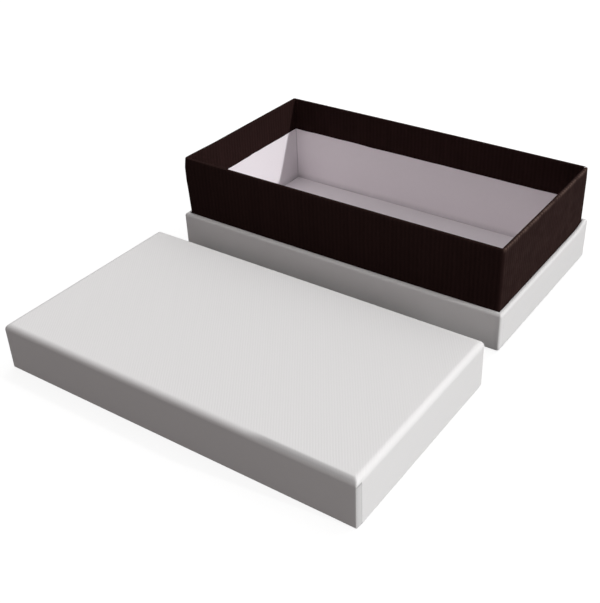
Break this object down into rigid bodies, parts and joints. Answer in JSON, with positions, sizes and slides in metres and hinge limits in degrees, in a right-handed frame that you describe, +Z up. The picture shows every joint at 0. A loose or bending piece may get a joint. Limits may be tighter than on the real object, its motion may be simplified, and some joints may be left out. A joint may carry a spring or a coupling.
{
  "type": "rigid gift box",
  "caption": "Rectangular rigid gift box in textured paper: shallow white base with a tall brown neck frame, and a shallow white lift-off lid lying beside it.",
  "frame": {"origin": "middle of the underside of the base", "axes": "+Z up, X along the box's length, +Y from the lid towards the base, so the lid lies at -Y"},
  "size_m": [0.2045, 0.246, 0.056],
  "materials": {
    "white_wrap_paper": "matte, finely ribbed",
    "brown_wrap_paper": "matte, finely ribbed",
    "white_lining_paper": "matte, smooth",
    "grey_board": "matte, fibrous",
    "corner_tape": "matte"
  },
  "bodies": {
    "box": {"base_board": "grey_board", "base_wrap": "white_wrap_paper", "base_lining": "white_lining_paper", "base_corner_tape_front_left": "corner_tape", "base_corner_tape_front_right": "corner_tape", "base_corner_tape_back_right": "corner_tape", "base_corner_tape_back_left": "corner_tape", "neck_board": "grey_board", "neck_wrap": "brown_wrap_paper", "neck_lining": "white_lining_paper", "neck_joint_tape": "corner_tape"},
    "lid": {"lid_board": "grey_board", "lid_wrap": "white_wrap_paper", "lid_lining": "white_lining_paper", "lid_corner_tape_front_left": "corner_tape", "lid_corner_tape_front_right": "corner_tape", "lid_corner_tape_back_right": "corner_tape", "lid_corner_tape_back_left": "corner_tape"}
  },
  "joints": [
    {"name": "lid_lift", "type": "slide", "parent": "box", "child": "lid", "axis": [0, 0, 1], "range_m": [0, 0.08]}
  ]
}
